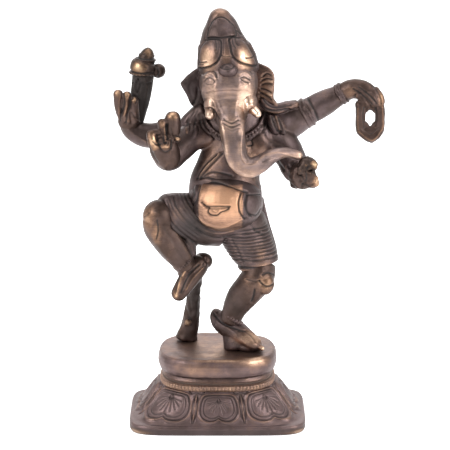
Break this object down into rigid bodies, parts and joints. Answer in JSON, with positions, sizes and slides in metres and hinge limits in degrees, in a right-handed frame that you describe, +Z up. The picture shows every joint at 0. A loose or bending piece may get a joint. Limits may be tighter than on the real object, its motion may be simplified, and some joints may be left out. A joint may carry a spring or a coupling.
{
  "type": "brass dancing elephant-headed figure",
  "caption": "Brass figure of a dancing elephant-headed deity, poised on tiptoe on a drum over a hollow lotus-petal plinth, with a support post behind the lifted foot.",
  "frame": {"origin": "on the floor, under the middle of the whole figure's box, arms included; the plinth's middle is 12.4 mm towards -X of it", "axes": "+Z up, the figure looks along -Y, +X is the viewer's right and the figure's left"},
  "size_m": [0.1068, 0.05, 0.1657],
  "materials": {
    "base_brass": "dark brown patina, satin",
    "figure_brass": "brown patina, rubbed bright on high spots",
    "ornament_brass": "brown patina with polished edges",
    "polished_brass": "polished by handling, warm"
  },
  "bodies": {
    "root": {"crown": "ornament_brass", "head_and_trunk": "figure_brass", "right_tusk": "polished_brass", "left_tusk": "polished_brass", "forehead_jewel": "ornament_brass", "right_ear": "figure_brass", "left_ear": "figure_brass", "belly": "polished_brass", "chest": "figure_brass", "necklace": "ornament_brass", "rear_left_hand": "figure_brass", "rear_left_arm": "figure_brass", "wrist_cuff": "ornament_brass", "armband": "ornament_brass", "sweet": "ornament_brass", "front_left_hand": "figure_brass", "front_left_arm": "figure_brass", "front_right_hand": "figure_brass", "front_right_arm": "figure_brass", "right_shoulder_leaf": "ornament_brass", "left_shoulder_leaf": "ornament_brass", "club_knob": "ornament_brass", "club_head": "ornament_brass", "rear_right_hand": "figure_brass", "club_shaft": "ornament_brass", "rear_right_arm": "figure_brass", "standing_leg": "figure_brass", "standing_foot": "figure_brass", "standing_anklet": "ornament_brass", "raised_leg": "figure_brass", "raised_foot": "polished_brass", "raised_anklet": "ornament_brass", "dhoti": "figure_brass", "hip_cloth_tail": "figure_brass", "support_post": "base_brass", "lotus_plinth": "base_brass", "beaded_collar": "ornament_brass", "drum": "base_brass"}
  },
  "joints": []
}
